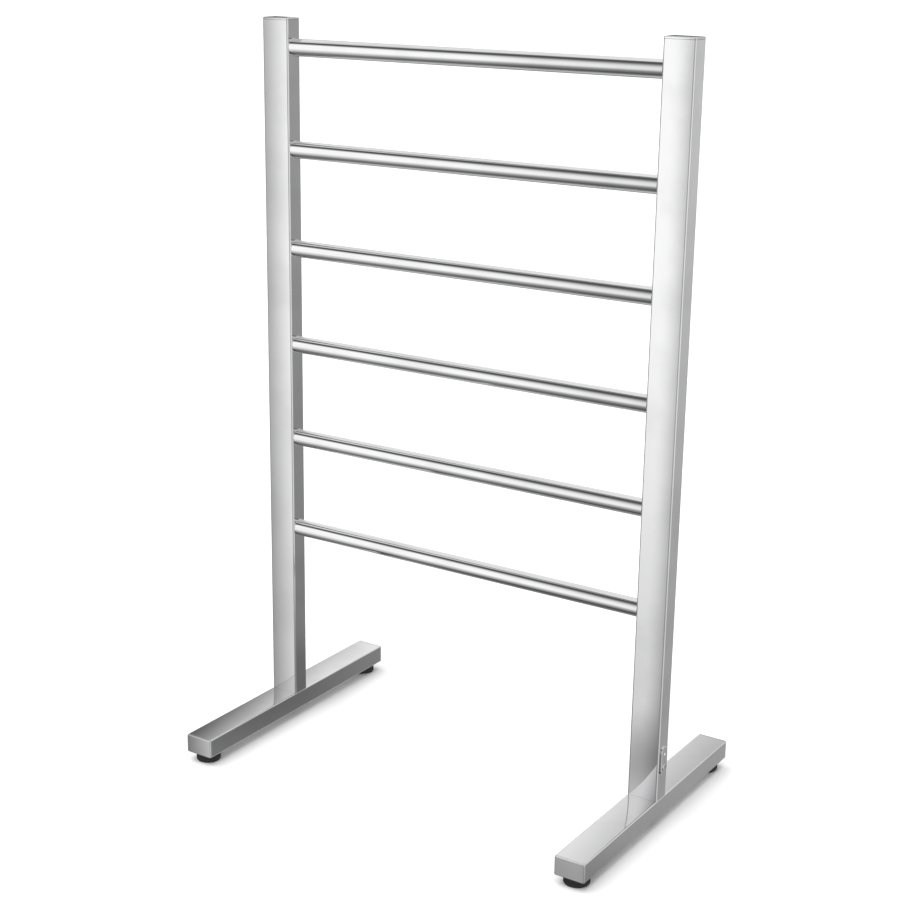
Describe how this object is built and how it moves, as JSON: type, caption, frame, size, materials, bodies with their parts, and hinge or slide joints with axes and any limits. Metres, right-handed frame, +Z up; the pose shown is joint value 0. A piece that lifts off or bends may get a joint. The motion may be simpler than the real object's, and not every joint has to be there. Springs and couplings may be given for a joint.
{
  "type": "towel warmer rack",
  "caption": "Free-standing electric towel warmer rack: round heated rungs between two rectangular uprights on foot bars, with a push switch low on one side.",
  "frame": {"origin": "on the floor, below the middle of the rack", "axes": "+X to the right along the rungs, towards the upright with the switch; -Y to the front; +Z up"},
  "size_m": [0.6032, 0.39, 0.955],
  "materials": {
    "polished_steel": "mirror-polished stainless steel",
    "zinc_plated_steel": "bright zinc",
    "raw_steel": "rolled, unpolished",
    "spring_steel": "satin",
    "black_rubber": "matte moulded rubber",
    "black_nylon": "fine moulded texture",
    "white_nylon": "satin",
    "red_silicone": "satin silicone",
    "brown_lead": "satin",
    "blue_lead": "satin",
    "green_yellow_lead": "satin",
    "brass": "satin",
    "clear_lens": "gloss, unlit"
  },
  "bodies": {
    "rack": {"left_upright": "polished_steel", "right_upright": "polished_steel", "left_top_cap": "polished_steel", "right_top_cap": "polished_steel", "rung_1": "polished_steel", "rung_2": "polished_steel", "rung_3": "polished_steel", "rung_4": "polished_steel", "rung_5": "polished_steel", "rung_6": "polished_steel", "left_foot_bar": "polished_steel", "right_foot_bar": "polished_steel", "front_left_end_cap": "polished_steel", "front_right_end_cap": "polished_steel", "rear_left_end_cap": "polished_steel", "rear_right_end_cap": "polished_steel", "foot_weld_nuts": "zinc_plated_steel", "left_base_plate": "raw_steel", "right_base_plate": "raw_steel", "base_bolts": "zinc_plated_steel", "base_washers": "zinc_plated_steel", "access_plugs": "black_nylon", "heating_cable": "red_silicone", "cable_splices": "white_nylon", "element_lead": "brown_lead", "return_lead": "blue_lead", "supply_lead": "brown_lead", "switch_lead": "brown_lead", "earth_lead": "green_yellow_lead", "earth_screw": "brass", "terminal_block": "white_nylon", "terminal_screws": "brass", "thermal_cutout": "black_nylon", "cutout_clip": "spring_steel", "switch_bezel": "polished_steel", "switch_housing": "black_nylon", "switch_blades": "brass", "button_spring": "spring_steel", "indicator_lens": "clear_lens", "indicator_led": "white_nylon", "cord_gland": "black_nylon", "gland_nut": "black_nylon"},
    "power_button": {"power_button": "polished_steel"},
    "front_left_foot": {"front_left_foot_pad": "black_rubber", "front_left_foot_stud": "zinc_plated_steel"},
    "front_right_foot": {"front_right_foot_pad": "black_rubber", "front_right_foot_stud": "zinc_plated_steel"},
    "rear_left_foot": {"rear_left_foot_pad": "black_rubber", "rear_left_foot_stud": "zinc_plated_steel"},
    "rear_right_foot": {"rear_right_foot_pad": "black_rubber", "rear_right_foot_stud": "zinc_plated_steel"}
  },
  "joints": [
    {"name": "power_button_press", "type": "slide", "parent": "rack", "child": "power_button", "axis": [-1, 0, 0], "range_m": [0, 0.0015], "stiffness_N_per_m": 800, "springref_m": -0.0015, "deforming": ["button_spring"]},
    {"name": "front_left_foot_level", "type": "slide", "parent": "rack", "child": "front_left_foot", "axis": [0, 0, -1], "range_m": [0, 0.008]},
    {"name": "front_right_foot_level", "type": "slide", "parent": "rack", "child": "front_right_foot", "axis": [0, 0, -1], "range_m": [0, 0.008]},
    {"name": "rear_left_foot_level", "type": "slide", "parent": "rack", "child": "rear_left_foot", "axis": [0, 0, -1], "range_m": [0, 0.008]},
    {"name": "rear_right_foot_level", "type": "slide", "parent": "rack", "child": "rear_right_foot", "axis": [0, 0, -1], "range_m": [0, 0.008]}
  ]
}
